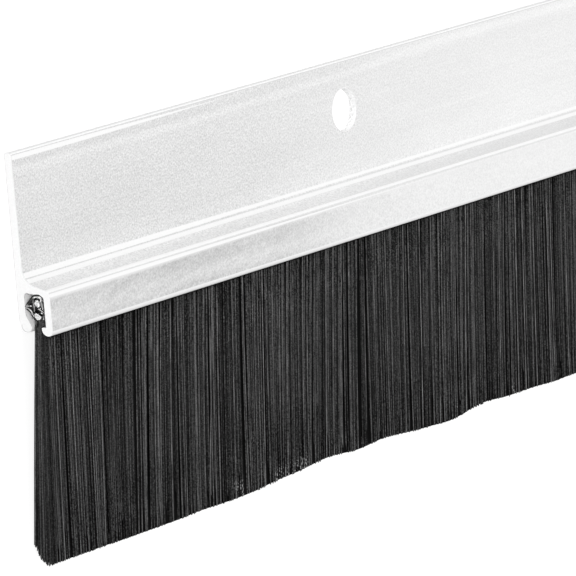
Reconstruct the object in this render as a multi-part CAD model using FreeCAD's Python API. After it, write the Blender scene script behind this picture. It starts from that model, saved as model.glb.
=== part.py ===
import FreeCAD, Part
import math
import os

# Brush seal strip: an extruded aluminium holder with a row of screw holes in its flange, and a strip
# brush held in its channel. The brush is a row of filaments folded round a core wire and gripped by a
# crimped steel backing.
#
# The strip lies on its back. X runs along it, Y points from the bristle tips to the free edge of the
# flange, and Z points out of its front. The origin is the middle of the row of screw holes, on the
# back face. In the section, depth is measured forwards from the back face, and drop is measured from
# the free edge of the flange towards the bristles.

# Driving dimensions, in millimetres
strip_length = 914.4

holder_height = 25.4
flange_thickness = 1.15
channel_width = 3.27
front_wall = 1.01
roof_thickness = 1.32
roof_slope_deg = 16.7
ceiling_slope_deg = 9.7
channel_height = 7.45
roof_fillet = 2.6
front_corner_radius = 0.45
inner_corner_radius = 0.5
free_edge_radius = 0.25
saw_edge_radius = 0.1

front_lip_thickness = 1.2
front_lip_reach = 0.74
front_lip_outer_radius = 0.62
front_lip_inner_radius = 1.0
back_lip_shortfall = 0.5
back_lip_reach = 0.98
back_lip_lean_deg = 29.0
back_lip_taper = 0.35
back_lip_outer_radius = 0.72
back_lip_inner_radius = 0.6
back_lip_bend_radius = 1.5

hole_diameter = 6.35
hole_from_edge = 7.3
hole_from_end = 82.55
hole_count = 6

backing_sheet = 0.3
backing_bend_radius = 0.3
backing_seat_gap = 0.06
backing_height = 3.3
backing_head_width = 1.55
backing_crimp_drop = 1.6
jaw_opening = 1.45

wire_diameter = 1.1
wire_gap = 0.03
fold_thickness = 0.12
bristle_gap = 0.05
mouth_gap_back = 0.2

exposed_bristle = 31.75
bristle_tip_thickness = 2.5
bristle_lean = 1.15
end_splay = 3.0
tip_front_depth = 1.3
tip_front_slant = 0.7
tip_back_slant = 1.55

trim_straight_end = 44.0
trim_fade = 14.0
trim_mean_dip = 0.65
# Height, length and first crest of each wave
trim_waves = ((0.16, 121.0, 63.0), (0.28, 42.0, 33.0), (0.18, 23.0, 17.5), (0.10, 13.8, 13.2))
trim_point_step = 3.25
# The blank's extra length, which the trim takes off
trim_spare = 1.0

# A corner flatter than this is left as it is
flat_corner_half_deg = 89.5

# Sizes that follow from them
half_length = strip_length / 2
roof_slope = math.radians(roof_slope_deg)
ceiling_slope = math.radians(ceiling_slope_deg)
roof_drop = holder_height - channel_height
holder_depth = flange_thickness + channel_width + front_wall
front_wall_inner = flange_thickness + channel_width
ceiling_back_drop = roof_drop + roof_thickness / math.cos(roof_slope)
ceiling_front_drop = ceiling_back_drop + channel_width * math.tan(ceiling_slope)
lip_top_drop = holder_height - front_lip_thickness
back_lip_drop = holder_height - back_lip_shortfall
back_lip_lean = math.radians(back_lip_lean_deg)
back_lip_bend_drop = back_lip_drop - back_lip_inner_radius - back_lip_reach / math.tan(back_lip_lean)
mouth_back = flange_thickness + back_lip_reach
mouth_front = front_wall_inner - front_lip_reach
brush_drop = holder_height + exposed_bristle
hole_pitch = (strip_length - 2 * hole_from_end) / (hole_count - 1)


def section_point(depth, drop, x=0.0):
    return FreeCAD.Vector(x, hole_from_edge - drop, depth)


def rounded_outline(corners):
    """A closed face from (depth, drop, radius) corners, each corner rounded by a tangent arc."""
    arcs = []
    for index, (depth, drop, radius) in enumerate(corners):
        corner = section_point(depth, drop)
        before = section_point(*corners[index - 1][:2]) - corner
        after = section_point(*corners[(index + 1) % len(corners)][:2]) - corner
        before.normalize()
        after.normalize()
        half_angle = before.getAngle(after) / 2
        if radius <= 0 or half_angle > math.radians(flat_corner_half_deg):
            arcs.append((corner, None, corner))
            continue
        tangent = radius / math.tan(half_angle)
        towards_centre = before + after
        towards_centre.normalize()
        middle = corner + towards_centre * (radius / math.sin(half_angle) - radius)
        arcs.append((corner + before * tangent, middle, corner + after * tangent))
    edges = []
    for index, (start, middle, end) in enumerate(arcs):
        if middle is not None:
            edges.append(Part.Arc(start, middle, end).toShape())
        next_start = arcs[(index + 1) % len(arcs)][0]
        if end.distanceToPoint(next_start) > 1e-6:
            edges.append(Part.LineSegment(end, next_start).toShape())
    return Part.Face(Part.Wire(edges))


def along_strip(face, from_x=-half_length, to_x=half_length):
    placed = face.copy()
    placed.translate(FreeCAD.Vector(from_x, 0, 0))
    return placed.extrude(FreeCAD.Vector(to_x - from_x, 0, 0))


def offset_path(path, distance):
    """The (depth, drop) path moved sideways by distance, with its corners mitred."""
    moved = []
    for index, (depth, drop) in enumerate(path):
        normals = []
        for start, end in ((index - 1, index), (index, index + 1)):
            if start < 0 or end >= len(path):
                continue
            run = (path[end][0] - path[start][0], path[end][1] - path[start][1])
            length = math.hypot(*run)
            normals.append((run[1] / length, -run[0] / length))
        across = (sum(n[0] for n in normals), sum(n[1] for n in normals))
        size = math.hypot(*across)
        miter = distance * 2 / size / size if len(normals) == 2 else distance
        moved.append((depth + across[0] * miter, drop + across[1] * miter))
    return moved


# Holder: one extrusion. The flange and the channel's back wall are one flat plate, the roof slopes
# out to the front wall, and a lip on each wall turns inwards to close the mouth over the brush head.
def make_holder():
    roof_run = holder_depth - flange_thickness
    roof_front_drop = roof_drop + roof_run * math.tan(roof_slope)
    tip_run = (back_lip_drop - back_lip_bend_drop) * math.tan(back_lip_lean)
    corners = [
        (0.0, 0.0, saw_edge_radius),
        (flange_thickness, 0.0, free_edge_radius),
        (flange_thickness, roof_drop, roof_fillet),
        (holder_depth, roof_front_drop, front_corner_radius),
        (holder_depth, holder_height, front_lip_outer_radius),
        (mouth_front, holder_height, front_lip_inner_radius),
        (mouth_front, lip_top_drop, saw_edge_radius),
        (front_wall_inner, lip_top_drop, saw_edge_radius),
        (front_wall_inner, ceiling_front_drop, inner_corner_radius),
        (flange_thickness, ceiling_back_drop, inner_corner_radius),
        (flange_thickness, back_lip_bend_drop, back_lip_bend_radius),
        (flange_thickness + tip_run, back_lip_drop, back_lip_inner_radius),
        (back_lip_taper, back_lip_drop, back_lip_outer_radius),
        (0.0, back_lip_bend_drop + back_lip_bend_radius / 2, back_lip_bend_radius),
    ]
    holder = along_strip(rounded_outline(corners))
    for index in range(hole_count):
        at = FreeCAD.Vector(-half_length + hole_from_end + index * hole_pitch, 0, -flange_thickness)
        drill = Part.makeCylinder(hole_diameter / 2, 3 * flange_thickness, at, FreeCAD.Vector(0, 0, 1))
        holder = holder.cut(drill)
    return holder.removeSplitter()


# Crimped steel backing: a thin sheet folded over the head of the brush. Its front leg stands against
# the front wall, its back leg bulges to a crease that bears on the back wall, and both legs close
# again into two jaws above the mouth.
def backing_path():
    half_sheet = backing_sheet / 2
    front_leg = front_wall_inner - backing_seat_gap - half_sheet
    crease_rounding = (backing_bend_radius + half_sheet) * (math.sqrt(2) - 1)
    crease = flange_thickness + backing_seat_gap + half_sheet * math.sqrt(2) - crease_rounding
    head_front_drop = ceiling_front_drop + backing_seat_gap + half_sheet
    head_back = front_leg - backing_head_width
    head_back_drop = head_front_drop - backing_head_width * math.tan(ceiling_slope)
    crease_drop = head_back_drop + backing_crimp_drop
    jaw_drop = head_back_drop + backing_height
    back_jaw = front_leg - backing_sheet - jaw_opening
    knuckle_drop = (crease_drop + jaw_drop) / 2
    return [
        (back_jaw, jaw_drop),
        (back_jaw, knuckle_drop),
        (crease, crease_drop),
        (head_back, head_back_drop),
        (front_leg, head_front_drop),
        (front_leg, jaw_drop),
    ]


def sheet_outline(path, thickness, bend_radius):
    """A sheet of even thickness that follows the path, with round bends and square ends."""
    outer = offset_path(path, thickness / 2)
    inner = offset_path(path, -thickness / 2)
    last = len(path) - 1
    corners = []
    for index, (depth, drop) in enumerate(outer):
        turn = turning_at(path, index) if 0 < index < last else 0.0
        radius = bend_radius + thickness / 2 if turn > 0 else bend_radius - thickness / 2
        corners.append((depth, drop, radius if 0 < index < last else 0.0))
    for index in range(last, -1, -1):
        depth, drop = inner[index]
        turn = turning_at(path, index) if 0 < index < last else 0.0
        radius = bend_radius - thickness / 2 if turn > 0 else bend_radius + thickness / 2
        corners.append((depth, drop, radius if 0 < index < last else 0.0))
    return rounded_outline(corners)


def turning_at(path, index):
    """Positive where the path turns away from the side that a positive offset lies on."""
    first = (path[index][0] - path[index - 1][0], path[index][1] - path[index - 1][1])
    second = (path[index + 1][0] - path[index][0], path[index + 1][1] - path[index][1])
    return first[0] * second[1] - first[1] * second[0]


def make_backing():
    return along_strip(sheet_outline(backing_path(), backing_sheet, backing_bend_radius))


# Core wire: it lies in the head of the brush, and the filaments are folded round it.
def wire_centre():
    front_leg, head_front_drop = backing_path()[4]
    inside = backing_sheet / 2 + bristle_gap + fold_thickness + wire_gap + wire_diameter / 2
    ceiling_rise = inside * math.tan(ceiling_slope)
    return front_leg - inside, head_front_drop - ceiling_rise + inside / math.cos(ceiling_slope)


def make_core_wire():
    depth, drop = wire_centre()
    start = section_point(depth, drop, -half_length)
    return Part.makeCylinder(wire_diameter / 2, strip_length, start, FreeCAD.Vector(1, 0, 0))


# Bristles: one closed curtain. It fills the backing round the wire, passes the mouth between the lips,
# and then thickens, leans back and splays out at both ends. Its tips are trimmed on a slant.
def curtain_section():
    path = backing_path()
    inner = offset_path(path, -(backing_sheet / 2 + bristle_gap))
    below_jaws = path[0][1] + bristle_gap
    neck_back = mouth_back + mouth_gap_back
    neck_front = mouth_front - bristle_gap
    middle_at_tips = (neck_back + neck_front) / 2 - bristle_lean
    tip_back = middle_at_tips - bristle_tip_thickness / 2
    tip_front = middle_at_tips + bristle_tip_thickness / 2
    round_inside = max(backing_bend_radius - backing_sheet / 2 - bristle_gap, 0.05)
    fold = [(depth, drop, round_inside) for depth, drop in inner[1:-1]]
    fold = [(inner[0][0], below_jaws, 0.0)] + fold + [(inner[-1][0], below_jaws, 0.0)]
    leaving = [
        (neck_front, lip_top_drop - bristle_gap, 0.0),
        (neck_front, holder_height, 0.0),
        (tip_front, brush_drop + trim_spare, 0.0),
        (tip_back, brush_drop + trim_spare, 0.0),
        (neck_back, holder_height, 0.0),
        (neck_back, below_jaws, 0.0),
    ]
    return rounded_outline(fold + leaving), tip_front


def trim_dip(distance):
    """How much shorter than the straight trim the tips are, at a distance from the nearer end."""
    fade = min(max((distance - trim_straight_end) / trim_fade, 0.0), 1.0)
    dip = trim_mean_dip
    for height, length, crest in trim_waves:
        dip += height * math.cos(2 * math.pi * (distance - crest) / length)
    return dip * fade * fade * (3 - 2 * fade)


def trim_face(tip_front):
    """What the trimmed curtain fills, seen from the front: the wavy tips and the splayed ends."""
    holder_line = hole_from_edge - holder_height
    tip_line = hole_from_edge - brush_drop
    top_line = hole_from_edge
    span = strip_length + 2 * end_splay
    steps = int(span / trim_point_step)
    tips = []
    for index in range(steps + 1):
        x = -span / 2 + span * index / steps
        distance = max(half_length - abs(x), 0.0)
        tips.append(FreeCAD.Vector(x, tip_line + trim_dip(distance), tip_front))
    wave = Part.BSplineCurve()
    wave.interpolate(tips)
    corners = [
        tips[-1],
        FreeCAD.Vector(half_length, holder_line, tip_front),
        FreeCAD.Vector(half_length, top_line, tip_front),
        FreeCAD.Vector(-half_length, top_line, tip_front),
        FreeCAD.Vector(-half_length, holder_line, tip_front),
        tips[0],
    ]
    edges = [wave.toShape()]
    for start, end in zip(corners[:-1], corners[1:]):
        edges.append(Part.LineSegment(start, end).toShape())
    return Part.Face(Part.Wire(edges))


def trimmed(blank, tip_front):
    """The blank cut to the trim face, which climbs faster towards the back of the tips."""
    face = trim_face(tip_front)
    reach = 2 * holder_depth
    curtain = blank.common(face.extrude(FreeCAD.Vector(0, 0, reach)))
    for depth, slant in ((tip_front_depth, tip_front_slant), (reach, tip_back_slant)):
        step = FreeCAD.Vector(0, depth * slant, -depth)
        curtain = curtain.fuse(blank.common(face.extrude(step)))
        face.translate(step)
    return curtain.removeSplitter()


def make_bristles():
    section, tip_front = curtain_section()
    curtain = trimmed(along_strip(section, -half_length - end_splay, half_length + end_splay), tip_front)
    depth, drop = wire_centre()
    bore_start = section_point(depth, drop, -strip_length)
    bore_radius = wire_diameter / 2 + wire_gap
    return curtain.cut(Part.makeCylinder(bore_radius, 2 * strip_length, bore_start, FreeCAD.Vector(1, 0, 0)))


os.makedirs("parts", exist_ok=True)
nodes = {
    "holder": make_holder(),
    "backing_strip": make_backing(),
    "core_wire": make_core_wire(),
    "bristles": make_bristles(),
}
for name, shape in nodes.items():
    box = shape.BoundBox
    print(name, "solids", len(shape.Solids), "valid", shape.isValid(), "volume", round(shape.Volume, 1),
          "box", [round(v, 2) for v in (box.XMin, box.YMin, box.ZMin, box.XMax, box.YMax, box.ZMax)])
    shape.exportStep("parts/" + name + ".step")
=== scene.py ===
# %% [markdown]
# A brush seal strip, lesson in cells
#
# The real object is a length of stock: an aluminium extrusion with screw holes along its flange, and
# a strip brush pushed into its channel. It could all be modelled again here, but the solid model
# already gives every piece at its real size. So the holder and the steel keep their meshes and get
# finishes, and only the plain bristle solid is replaced, by single strands. Lengths are in metres.

# %% Load the frame
import math
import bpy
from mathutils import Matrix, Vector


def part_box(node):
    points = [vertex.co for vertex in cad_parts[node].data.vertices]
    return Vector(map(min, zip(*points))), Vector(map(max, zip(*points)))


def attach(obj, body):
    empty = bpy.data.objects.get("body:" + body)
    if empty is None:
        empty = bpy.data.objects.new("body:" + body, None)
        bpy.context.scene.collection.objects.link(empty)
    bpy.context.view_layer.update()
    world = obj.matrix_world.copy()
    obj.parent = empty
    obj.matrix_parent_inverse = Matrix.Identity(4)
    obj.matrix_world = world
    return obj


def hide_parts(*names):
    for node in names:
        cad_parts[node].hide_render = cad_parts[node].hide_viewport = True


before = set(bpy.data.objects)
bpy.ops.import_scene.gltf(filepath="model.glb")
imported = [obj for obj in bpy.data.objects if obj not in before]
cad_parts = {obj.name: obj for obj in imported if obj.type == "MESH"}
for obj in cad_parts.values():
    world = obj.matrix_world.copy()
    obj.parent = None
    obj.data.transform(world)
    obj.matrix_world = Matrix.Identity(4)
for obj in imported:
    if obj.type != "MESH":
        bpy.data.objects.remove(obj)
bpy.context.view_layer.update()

from types import SimpleNamespace

import bmesh
import bpy
import numpy as np
from mathutils import Matrix, Vector

MM = 0.001
holder_low, holder_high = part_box("holder")
brush_low, brush_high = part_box("bristles")
wire_low, wire_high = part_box("core_wire")
half_length = holder_high.x
flange_edge = holder_high.y
print("holder from", tuple(holder_low), "to", tuple(holder_high))

# %% [markdown]
# The camera. The strip is long and thin, so a picture of all of it would show nothing. A close view
# of one end shows the section, one screw hole and the tips. A constraint could aim the camera, but a
# point, a direction and a distance are easier to repeat. A long lens keeps the edges parallel.

# %% Camera
look_at = Vector((-396.4, -22.4, 3.4)) * MM
towards_strip = Vector((0.81480, -0.15730, -0.55800)).normalized()
picture_up = Vector((0.17861, 0.98378, -0.01652))
camera_distance = 1106.6 * MM
lens_mm = 481.25

right = towards_strip.cross(picture_up).normalized()
up = right.cross(towards_strip).normalized()
turn = Matrix((right, up, -towards_strip)).transposed()
camera_data = bpy.data.cameras.new("camera")
camera_data.lens = lens_mm
camera_data.sensor_width = 36.0
camera_data.clip_start = 0.01
camera_data.clip_end = 50.0
camera = bpy.data.objects.new("camera", camera_data)
camera.matrix_world = Matrix.Translation(look_at - towards_strip * camera_distance) @ turn.to_4x4()
bpy.context.scene.collection.objects.link(camera)
bpy.context.scene.camera = camera
print("camera at", tuple(round(v, 3) for v in camera.location))

# %% [markdown]
# A helper for finishes. Every finish here is a small tree of nodes. It could be wired up by hand, but
# with methods that each add a node or two, a finish reads like a recipe from top to bottom.


# %% Node helpers
class Mix:
    """A material in the making. Each method adds a node or two and hands back what comes out."""

    def __init__(self, name):
        self.material = bpy.data.materials.new(name)
        self.material.use_nodes = True
        self.tree = self.material.node_tree
        self.tree.nodes.clear()
        self.output = self.tree.nodes.new("ShaderNodeOutputMaterial")

    def node(self, kind, settings=None, **sockets):
        made = self.tree.nodes.new("ShaderNode" + kind)
        for name, value in (settings or {}).items():
            setattr(made, name, value)
        for name, value in sockets.items():
            self.put(made, name.replace("_", " "), value)
        return made

    def put(self, made, socket, value):
        """Link the value to the socket, or set it there if it is a plain number or colour."""
        if isinstance(value, bpy.types.NodeSocket):
            self.tree.links.new(value, made.inputs[socket])
        else:
            made.inputs[socket].default_value = value

    def maths(self, operation, *values, clamp=False):
        made = self.node("Math", {"operation": operation, "use_clamp": clamp})
        for index, value in enumerate(values):
            self.put(made, index, value)
        return made.outputs[0]

    def minus(self, one, other):
        return self.maths("SUBTRACT", one, other)

    def times(self, one, *others):
        for other in others:
            one = self.maths("MULTIPLY", one, other)
        return one

    def scaled(self, value, by, added, clamp=False):
        return self.maths("MULTIPLY_ADD", value, by, added, clamp=clamp)

    def fade(self, value, low, high, below=1.0, above=0.0):
        """1 where value is below low, 0 above high, and smooth between."""
        return self.node("MapRange", {"interpolation_type": "SMOOTHSTEP"}, Value=value,
                         From_Min=low, From_Max=high, To_Min=below, To_Max=above).outputs[0]

    def rise(self, value, low, high):
        return self.fade(value, low, high, 0.0, 1.0)

    def between(self, low, high, share):
        """The value that lies between low and high by share."""
        return self.node("Mix", {"data_type": "FLOAT"}, Factor=share, A=low, B=high).outputs[0]

    def noise(self, place, scale, detail=2.0, roughness=0.5):
        """Noise about zero, mostly between -0.25 and 0.25. Three scales stretch it along X, Y and Z."""
        if isinstance(scale, tuple):
            place, scale = self.node("Mapping", Vector=place, Scale=scale).outputs[0], 1.0
        made = self.node("TexNoise", Vector=place, Scale=scale, Detail=detail, Roughness=roughness)
        return self.minus(made.outputs["Fac"], 0.5)

    def turned(self, place, angle):
        """The place turned about Z, so that a pattern stretched along X runs at a slant."""
        return self.node("Mapping", Vector=place, Rotation=(0.0, 0.0, angle)).outputs[0]

    def position(self):
        """The point's place, its X, Y and Z, and its distance from the nearer end of the strip."""
        place = self.node("TexCoord").outputs["Object"]
        along, across, out = self.node("SeparateXYZ", Vector=place).outputs
        end = self.minus(half_length, self.maths("ABSOLUTE", along))
        return SimpleNamespace(place=place, along=along, across=across, out=out, end=end)

    def own_shade(self):
        """The shade that a mesh keeps at its points."""
        return self.node("Attribute", {"attribute_name": "shade"}).outputs["Fac"]

    def surface(self, tone, roughness, metallic=0.0, gloss=0.5, bumps=None):
        """The grey surface itself. bumps are a height, its distance in metres and its strength."""
        grey = self.node("CombineColor", Red=tone, Green=tone, Blue=tone).outputs[0]
        made = self.node("BsdfPrincipled", Base_Color=grey, Roughness=roughness, Metallic=metallic,
                         Specular_IOR_Level=gloss)
        if bumps:
            height, distance, strength = bumps
            bump = self.node("Bump", Height=height, Distance=distance, Strength=strength)
            self.put(made, "Normal", bump.outputs[0])
        return self.finish(made)

    def finish(self, shader):
        self.put(self.output, "Surface", shader.outputs[0])
        return self.material


print("the helper has", sum(name[0] != "_" for name in vars(Mix)), "methods")

# %% [markdown]
# Places in the section. A drawing gives each corner of the extrusion by its depth from the flat back
# and its drop from the flange's free edge. The frame's Y and Z could stand here instead, but the
# drawing's numbers are easier to check, so a helper turns them round.


# %% Places in the section
def section_place(depth, drop):
    """Y and Z in metres of a point that is given by its depth and its drop in millimetres."""
    return flange_edge - drop * MM, depth * MM


print("the roof meets the front wall at Y and Z", section_place(5.43, 19.44))

# %% [markdown]
# The holder's finish. It is aluminium, drawn through a die and etched to a pale satin, with a fine
# speckle, faint lines along it and soft clouds where it was handled. Bright bands along its long edges
# are painted highlights, and hair lines in its corners are painted shade. This could be painted on an
# unwrapped image. Here it is worked out from Object coordinates, which need no unwrapping and stay
# sharp close up: Y and Z tell where a point is in the section, and X tells how far it is from the ends.

# %% Where the marks and holes are
# Depth and drop of each painted highlight band in mm, its half width at the ends and elsewhere, the
# distance from the end over which it narrows, its tone, and how far its edge fades
painted_highlight_bands = (
    (1.15, 0.66, 0.36, 0.0, 62.0, 0.925, 0.16),
    (1.32, 17.10, 0.44, 0.26, 75.0, 0.895, 0.16),
    (1.94, 17.84, 0.39, 0.32, 95.0, 0.875, 0.16),
    (5.43, 19.95, 0.62, 0.30, 60.0, 0.79, 0.60),
    (5.02, 19.16, 0.40, 0.34, 95.0, 0.93, 0.16),
    (5.43, 19.74, 0.30, 0.0, 121.0, 0.91, 0.16),
    (5.40, 24.98, 0.34, 0.27, 95.0, 0.835, 0.16),
)
band_overlap, band_strength = 0.05 * MM, 0.9
# Depth and drop of each painted hair line of shade, its tone, and how strong it is at the ends
shade_lines = (
    (1.15, 0.25, 0.66, 0.7),
    (1.58, 17.50, 0.60, 1.0),
    (5.41, 19.44, 0.70, 1.0),
)
hair_line_rim = (0.02 * MM, 0.08 * MM)
unchanged_reach, hair_line_reach = 12.0 * MM, 70.0 * MM

roof_level = section_place(5.0, 19.3)[0]
wall_middle = section_place(5.43, 23.2)[0]
channel_levels, channel_depths = (-11.9 * MM, -11.6 * MM), (4.4 * MM, 4.5 * MM)
back_lip_centre, back_lip_radius = section_place(1.25, 24.0), 0.88 * MM
hole_radius = 3.175 * MM
hole_from_end = 82.55 * MM
hole_pitch = (2 * half_length - 2 * hole_from_end) / 5
print("holes every", round(hole_pitch / MM, 2), "mm")

# %% [markdown]
# Masks. A mask is 1 on a mark and 0 away from it. It could be a vertex group, but the solid's mesh
# must stay as it is. So it comes from a distance, to an edge, a hole or an end, with a soft rim.


# %% Masks for the edges
def distance_in_section(mix, at, centre):
    """How far a point is, seen along the strip, from a centre that is given by its Y and Z."""
    aside = mix.minus(at.across, centre[0])
    above = mix.minus(at.out, centre[1])
    return mix.maths("SQRT", mix.scaled(aside, aside, mix.times(above, above)))


def with_edge_marks(mix, tone, at):
    """The tone with the painted highlight bands, which are wider near the ends, then the painted lines of
    shade.
    """
    for depth, drop, at_ends, elsewhere, reach, band_tone, soft in painted_highlight_bands:
        away = distance_in_section(mix, at, section_place(depth, drop))
        wide = mix.fade(at.end, unchanged_reach, reach * MM)
        width = mix.scaled(wide, (at_ends - elsewhere) * MM, elsewhere * MM + band_overlap)
        band = mix.rise(mix.minus(width, away), 0.0, soft * MM)
        tone = mix.between(tone, band_tone, mix.times(band, band_strength))
    near = mix.fade(at.end, unchanged_reach, hair_line_reach)
    for depth, drop, line_tone, at_ends in shade_lines:
        away = distance_in_section(mix, at, section_place(depth, drop))
        line = mix.times(mix.fade(away, *hair_line_rim), mix.scaled(near, at_ends - 1.0, 1.0))
        tone = mix.between(tone, line_tone, line)
    return tone


print("edge marks:", len(painted_highlight_bands), "bands and", len(shade_lines), "hair lines")

# %% Painted highlight and a darker stripe beside the flange's free edge
# Drop of each streak's middle, where its half width fades out, and how much it changes the tone. The
# pale streak is a painted highlight, and the other is a darker stripe
painted_highlight_streak, painted_highlight_sinks = (1.25 * MM, (0.2 * MM, 0.9 * MM), 0.045), 1.3 * MM
darker_streak = (1.5 * MM, (0.1 * MM, 0.7 * MM), -0.025)


def streak(mix, at, drop, rim, change, sinks=0.0):
    """The change of tone by a streak along the flange, which lies lower still by what sinks says."""
    middle = mix.minus(flange_edge - drop, sinks)
    away = mix.maths("ABSOLUTE", mix.minus(at.across, middle))
    return mix.times(mix.fade(away, *rim), change)


def streaks_beside_edge(mix, at, near_end):
    """A painted highlight along the flange under its free edge, and a darker stripe above it near the ends.
    """
    pale = streak(mix, at, *painted_highlight_streak, mix.times(near_end, painted_highlight_sinks))
    return mix.scaled(streak(mix, at, *darker_streak), near_end, pale)


print("pale streak", round(painted_highlight_streak[0] / MM, 2), "mm below the free edge")

# %% Masks for the holes and the sawn ends
def from_hole_edge(mix, at):
    """The distance from the rim of the nearest hole, negative inside it."""
    from_first = mix.maths("ADD", at.along, half_length - hole_from_end)
    aside = mix.maths("WRAP", from_first, hole_pitch / 2, -hole_pitch / 2)
    square = mix.scaled(aside, aside, mix.times(at.across, at.across))
    return mix.minus(mix.maths("SQRT", square), hole_radius)


def back_outline(mix, at):
    """A thin painted line of shade along the back of a sawn end, which follows the back wall and the curve of
    its lip.
    """
    straight = mix.fade(at.out, 0.04 * MM, 0.10 * MM)
    away = mix.minus(distance_in_section(mix, at, back_lip_centre), back_lip_radius)
    curve = mix.fade(mix.maths("ABSOLUTE", away), 0.03 * MM, 0.09 * MM)
    low = mix.fade(at.across, back_lip_centre[0], back_lip_centre[0] + 0.3 * MM)
    return mix.maths("MAXIMUM", straight, mix.times(curve, low))


print("the back lip curves round Y and Z", back_lip_centre)

# %% [markdown]
# The satin itself. It is one tone, painted a little darker near the ends as shade, where the light
# falls off. The roof's own tones are painted light and shade, and the top face's pale tone is a painted
# highlight. One noise over it would look like sand. The real face has a fine speckle, a grain drawn out
# along it and soft clouds, so there are three, each at its own size and strength.

# %% Tones of the satin
# Tones of the flange and of the channel's roof: away from the ends, and near them. The flange's darker
# tone near the ends is painted shade, the roof's tones are painted light and shade, and the top face's
# tone is a painted highlight
flange_tones_with_end_shade, roof_light_and_shade_tones, top_face_highlight_tone = (0.795, 0.705), (0.72, 0.755), 0.93
near_end_reach, rubbed_reach = (40.0 * MM, 130.0 * MM), (46.0 * MM, 84.0 * MM)
# Scales of the noises, in cells to the metre, and how much they change the tone
speckle_scale, speckle_changes, speckle_on_wall = 3600.0, (0.40, 0.75), 0.75
grain_scale, grain_change = (25.0, 1400.0, 1400.0), 0.05
cloud_scale, cloud_change = (36.0, 120.0, 120.0), 0.10
streak_scale, streak_slant, streak_change = (110.0, 900.0, 400.0), -0.16, 0.24
cell_scale, cell_change, rubbed_clouds, rubbed_everywhere, rubbed_edges = 700.0, 0.08, 0.26, 0.071, 0.075


def handled_marks(mix, at, clouds):
    """How much darker rubbing has left the front wall: most beside its edges, with slanting streaks."""
    slanted = mix.turned(at.place, streak_slant)
    streaks = mix.noise(slanted, streak_scale, detail=3.0, roughness=0.6)
    cells = mix.noise(at.place, cell_scale, roughness=0.6)
    above = mix.minus(at.across, wall_middle)
    upper, lower = mix.rise(above, 0.2 * MM, 2.0 * MM), mix.fade(above, -1.35 * MM, -0.5 * MM)
    beside_edges = mix.scaled(lower, 0.8, upper)
    blots = mix.scaled(clouds, rubbed_clouds, mix.scaled(cells, cell_change, rubbed_everywhere))
    return mix.scaled(streaks, streak_change, mix.scaled(beside_edges, rubbed_edges, blots))


print("flange tone", flange_tones_with_end_shade[0], "and near the ends", flange_tones_with_end_shade[1])


# %% The satin faces
def satin_faces(mix, at, speckle):
    """The tone of the drawn faces, with their noises, rubbed marks, painted shade and painted highlights."""
    near_end = mix.fade(at.end, *near_end_reach)
    wall = mix.rise(at.out, 5.0 * MM, 5.4 * MM)
    inner_side = mix.rise(at.out, 1.5 * MM, 1.8 * MM)
    roof = mix.times(inner_side, mix.rise(at.across, roof_level - 0.2 * MM, roof_level))
    grain = mix.noise(at.place, grain_scale)
    clouds = mix.noise(at.place, cloud_scale, detail=3.0, roughness=0.6)

    # The flange is painted darker near the ends as shade, and the roof gets tones of its own as painted light
    # and shade.
    flange_tone, roof_tone = mix.between(*flange_tones_with_end_shade, near_end), mix.between(*roof_light_and_shade_tones, near_end)
    tone = mix.between(flange_tone, roof_tone, roof)
    on_wall = mix.between(1.0, speckle_on_wall, wall)
    tone = mix.scaled(speckle, mix.times(mix.between(*speckle_changes, near_end), on_wall), tone)
    tone = mix.scaled(grain, grain_change, tone)
    tone = mix.scaled(clouds, cloud_change, tone)
    tone = mix.maths("ADD", tone, streaks_beside_edge(mix, at, near_end))
    rubbed = mix.times(handled_marks(mix, at, clouds), wall, mix.fade(at.end, *rubbed_reach))
    tone = mix.minus(tone, mix.times(rubbed, mix.minus(1.0, roof)))
    # The top face of the flange is painted pale, as a highlight.
    below_top = mix.fade(at.across, flange_edge - 0.23 * MM, flange_edge - 0.16 * MM)
    tone = mix.between(mix.scaled(speckle, 0.15, top_face_highlight_tone), tone, below_top)
    return with_edge_marks(mix, tone, at)


print("grain and clouds to the metre:", grain_scale, cloud_scale)

# %% [markdown]
# Fresh metal. The drill and the saw cut through the etched skin, so hole walls and sawn ends are
# brighter, with torn specks. The inside of the channel near the cut is painted brighter too, as light,
# though it lies in shade. They could wear a second material, but the frame's mesh has no faces of
# their own for them. So they are laid over the satin's tone by masks.

# %% Fresh metal
# The channel's tone is painted light in the channel's shade near the cut, and the outline's tone is painted
# shade.
channel_painted_light_tone, hole_tone, burr_tone, sawn_tone, outline_shade_tone = 1.02, 1.0, 0.74, 0.98, 0.66


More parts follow.
